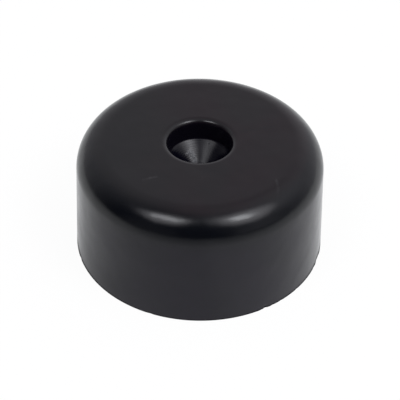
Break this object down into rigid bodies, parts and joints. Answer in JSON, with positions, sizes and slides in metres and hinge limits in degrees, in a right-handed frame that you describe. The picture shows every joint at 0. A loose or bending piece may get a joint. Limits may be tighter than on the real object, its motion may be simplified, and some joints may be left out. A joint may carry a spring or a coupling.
{
  "type": "rubber foot",
  "caption": "Round moulded rubber foot with a drafted wall, a broad rounded shoulder and a recessed, countersunk central hole for a screw.",
  "frame": {"origin": "centre of the flat base, the face that goes against the furniture", "axes": "+Z along the screw hole's axis, from the base towards the rounded tread face with the countersink"},
  "size_m": [0.05, 0.05, 0.025],
  "materials": {
    "rubber": "smooth moulded black rubber with a soft satin sheen"
  },
  "bodies": {
    "root": {"foot": "rubber"}
  },
  "joints": []
}
